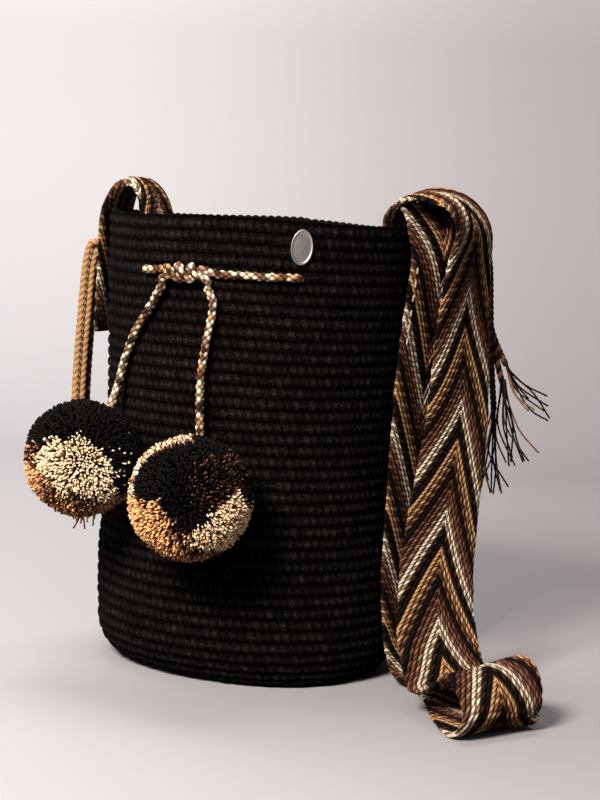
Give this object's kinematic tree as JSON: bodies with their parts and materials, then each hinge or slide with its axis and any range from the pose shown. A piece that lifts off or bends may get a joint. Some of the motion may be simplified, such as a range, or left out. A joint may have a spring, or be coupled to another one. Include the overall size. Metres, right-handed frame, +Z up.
{
  "type": "crocheted mochila bag",
  "caption": "Cylindrical black crochet shoulder bag with an open mouth, a knotted drawstring with pompoms, a small oval badge and a woven chevron strap draped to the floor.",
  "frame": {"origin": "centre of the flat base, on the floor", "axes": "+Z up, the front with the drawstring's knot faces -Y, the strap is sewn on at -X and +X"},
  "size_m": [0.3894, 0.318, 0.3556],
  "materials": {
    "black_yarn": "matte fuzzy cotton yarn in single crochet",
    "mixed_braid": "matte cord crocheted from cream, tan and dark yarn",
    "cut_yarn": "shaggy cut yarn ends in fields of black, tan, brown and cream",
    "chevron_weave": "twisted cordlets woven in chevrons of cream, black, tan and brown",
    "tan_cord": "two-ply twisted yarn",
    "cream_thread": "matte sewing thread",
    "silver_metal": "lightly worn nickel plate"
  },
  "bodies": {
    "bag": {"bag_body": "black_yarn", "drawstring": "mixed_braid", "strap": "chevron_weave", "left_front_stitches": "cream_thread", "left_back_stitches": "cream_thread", "right_front_stitches": "cream_thread", "right_back_stitches": "cream_thread", "left_fringe_1": "tan_cord", "left_fringe_2": "tan_cord", "left_fringe_3": "tan_cord", "right_fringe_1": "tan_cord", "right_fringe_2": "tan_cord", "right_fringe_3": "tan_cord", "badge": "silver_metal"},
    "left_tail": {"left_tail": "mixed_braid"},
    "left_pompom": {"left_pompom": "cut_yarn"},
    "right_tail": {"right_tail": "mixed_braid"},
    "right_pompom": {"right_pompom": "cut_yarn"}
  },
  "joints": [
    {"name": "left_tail_swing", "type": "hinge", "parent": "bag", "child": "left_tail", "pos_m": [-0.03881, -0.11531, 0.28], "axis": [-0.319, -0.9478, 0], "range_deg": [-35, 0]},
    {"name": "left_pompom_lift", "type": "hinge", "parent": "left_tail", "child": "left_pompom", "pos_m": [-0.0784, -0.10404, 0.188], "axis": [-0.7986, 0.6018, 0], "range_deg": [0, 50]},
    {"name": "right_tail_swing", "type": "hinge", "parent": "bag", "child": "right_tail", "pos_m": [-0.00297, -0.12163, 0.28], "axis": [-0.0244, -0.9997, 0], "range_deg": [0, 50]},
    {"name": "right_pompom_lift", "type": "hinge", "parent": "right_tail", "child": "right_pompom", "pos_m": [0, -0.13027, 0.172], "axis": [-1, 0, 0], "range_deg": [0, 50]}
  ]
}
